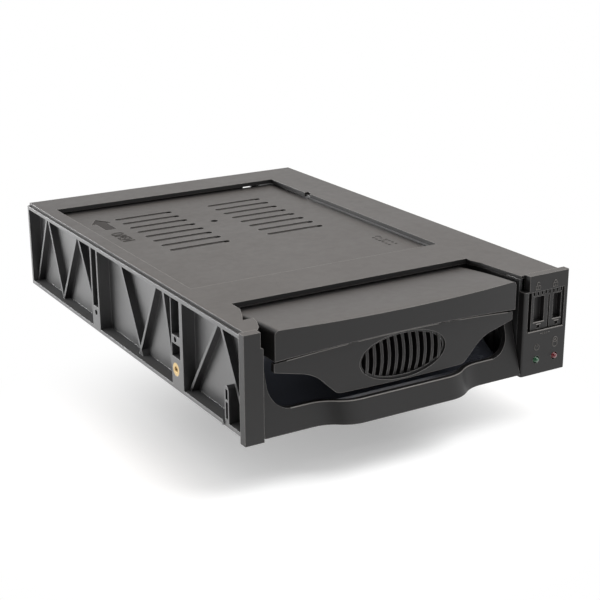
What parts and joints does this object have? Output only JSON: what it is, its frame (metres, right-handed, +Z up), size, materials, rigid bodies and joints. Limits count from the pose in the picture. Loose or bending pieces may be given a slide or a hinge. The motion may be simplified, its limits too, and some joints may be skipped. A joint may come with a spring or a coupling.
{
  "type": "hot swap drive cage",
  "caption": "Black plastic frame for a wide drive bay with a sliding removable drive tray, bail handle, vented front, slide lock, two lamps and a slotted sliding cover.",
  "frame": {"origin": "centre of the bottom of the bounding box, below the middle of the rack", "axes": "+X to the right as seen from the front, +Y into the bay, +Z up"},
  "size_m": [0.1484, 0.2232, 0.042],
  "materials": {
    "black_abs": "fine moulded texture",
    "gloss_abs": "polished",
    "brass": "turned",
    "steel": "zinc plated",
    "circuit_board": "solder mask",
    "connector_plastic": "moulded",
    "white_nylon": "moulded",
    "green_lens": "tinted lens",
    "red_lens": "tinted lens"
  },
  "bodies": {
    "frame": {"body_shell": "black_abs", "top_plate": "black_abs", "left_bezel": "black_abs", "control_panel": "black_abs", "brass_inserts": "brass", "backplane_board": "circuit_board", "backplane_screws": "steel", "docking_socket": "connector_plastic", "power_inlet": "white_nylon", "inlet_pins": "brass", "data_socket": "connector_plastic", "lock_board": "circuit_board", "lock_switch": "connector_plastic", "power_led": "green_lens", "activity_led": "red_lens"},
    "tray": {"tray_tub": "black_abs", "tray_head": "black_abs", "vent_fascia": "black_abs", "vent_grille": "black_abs", "finger_scoop": "gloss_abs", "handle_pins": "steel", "adapter_board": "circuit_board", "adapter_screws": "steel", "drive_connector": "connector_plastic", "docking_plug": "connector_plastic"},
    "handle": {"bail_handle": "black_abs"},
    "cover": {"tray_cover": "black_abs"},
    "lock": {"lock_slider": "black_abs", "lock_bolt": "black_abs"}
  },
  "joints": [
    {"name": "tray_slide", "type": "slide", "parent": "frame", "child": "tray", "axis": [0, -1, 0], "range_m": [0, 0.2]},
    {"name": "handle_hinge", "type": "hinge", "parent": "tray", "child": "handle", "pos_m": [-0.00745, -0.09235, 0.033], "axis": [-1, 0, 0], "range_deg": [0, 70]},
    {"name": "cover_slide", "type": "slide", "parent": "tray", "child": "cover", "axis": [0, 1, 0], "range_m": [0, 0.01]},
    {"name": "lock_slide", "type": "slide", "parent": "frame", "child": "lock", "axis": [-1, 0, 0], "range_m": [0, 0.002]}
  ]
}
